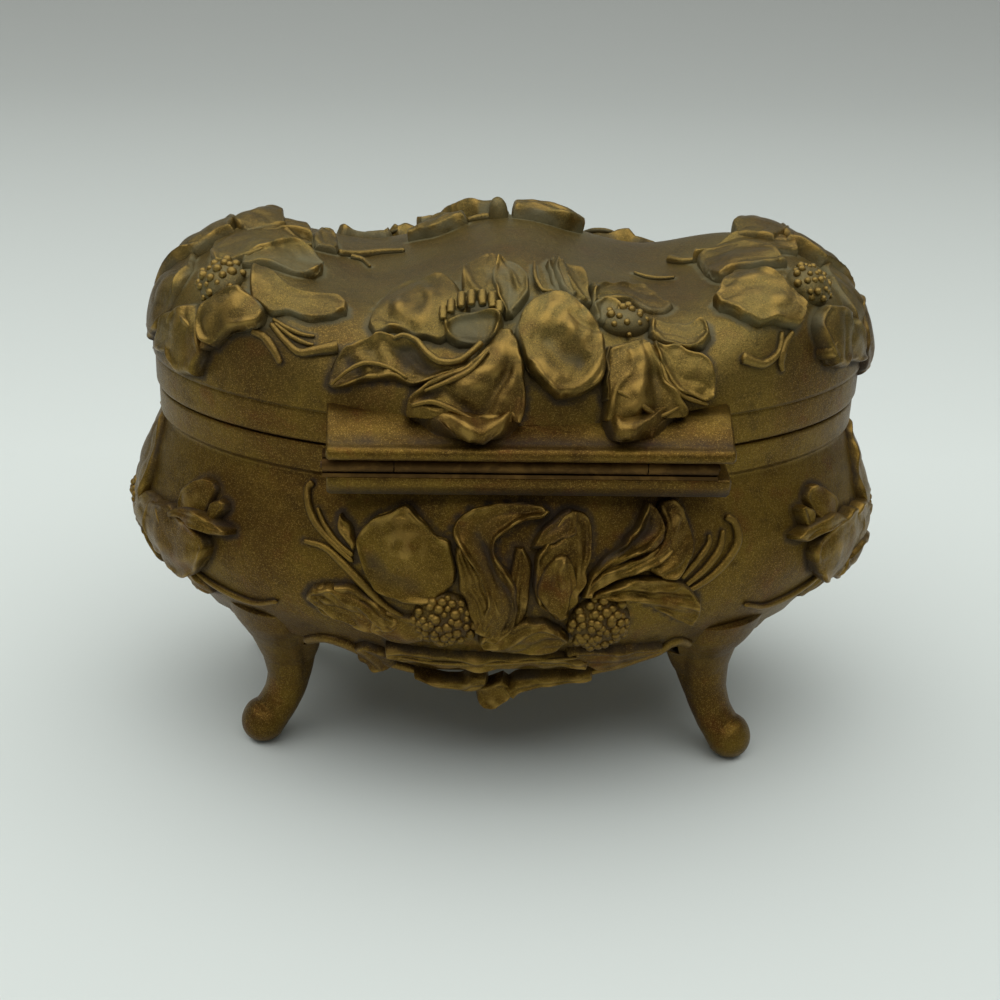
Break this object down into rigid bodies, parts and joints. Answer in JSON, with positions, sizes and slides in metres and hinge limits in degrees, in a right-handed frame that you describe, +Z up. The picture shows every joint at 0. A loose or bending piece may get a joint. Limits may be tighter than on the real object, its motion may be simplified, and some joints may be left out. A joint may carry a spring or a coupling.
{
  "type": "jewelry casket",
  "caption": "Footed oval cast metal jewelry casket with flower relief, a hinged domed lid and a padded silk lining.",
  "frame": {"origin": "on the floor, under the middle of the casket", "axes": "+Z up, the front faces -Y, the hinge runs along X at +Y"},
  "size_m": [0.1472, 0.094, 0.1006],
  "materials": {
    "gilt_casting": "antique gold paint over cast spelter, worn brassy on the high spots, dusty in the hollows",
    "hinge_brass": "aged coppery brass",
    "pin_steel": "dull drawn steel",
    "pasteboard": "plain grey-brown pasteboard",
    "silk": "faded old-gold silk satin over cotton wadding",
    "twisted_trim": "twisted silk trim glued along the edge"
  },
  "bodies": {
    "base": {"body_casting": "gilt_casting", "foot_back_right": "gilt_casting", "foot_front_right": "gilt_casting", "foot_back_left": "gilt_casting", "foot_front_left": "gilt_casting", "body_hinge_leaf": "hinge_brass", "hinge_pin": "pin_steel", "floor_card": "pasteboard", "floor_pad": "silk", "wall_lining": "silk", "body_trim": "twisted_trim"},
    "lid": {"lid_casting": "gilt_casting", "lid_hinge_leaf": "hinge_brass", "lid_card": "pasteboard", "lid_pad": "silk", "lid_lining": "silk", "lid_trim": "twisted_trim"}
  },
  "joints": [
    {"name": "lid_hinge", "type": "hinge", "parent": "base", "child": "lid", "pos_m": [0, 0.0415, 0.0687], "axis": [-1, 0, 0], "range_deg": [0, 105]}
  ]
}
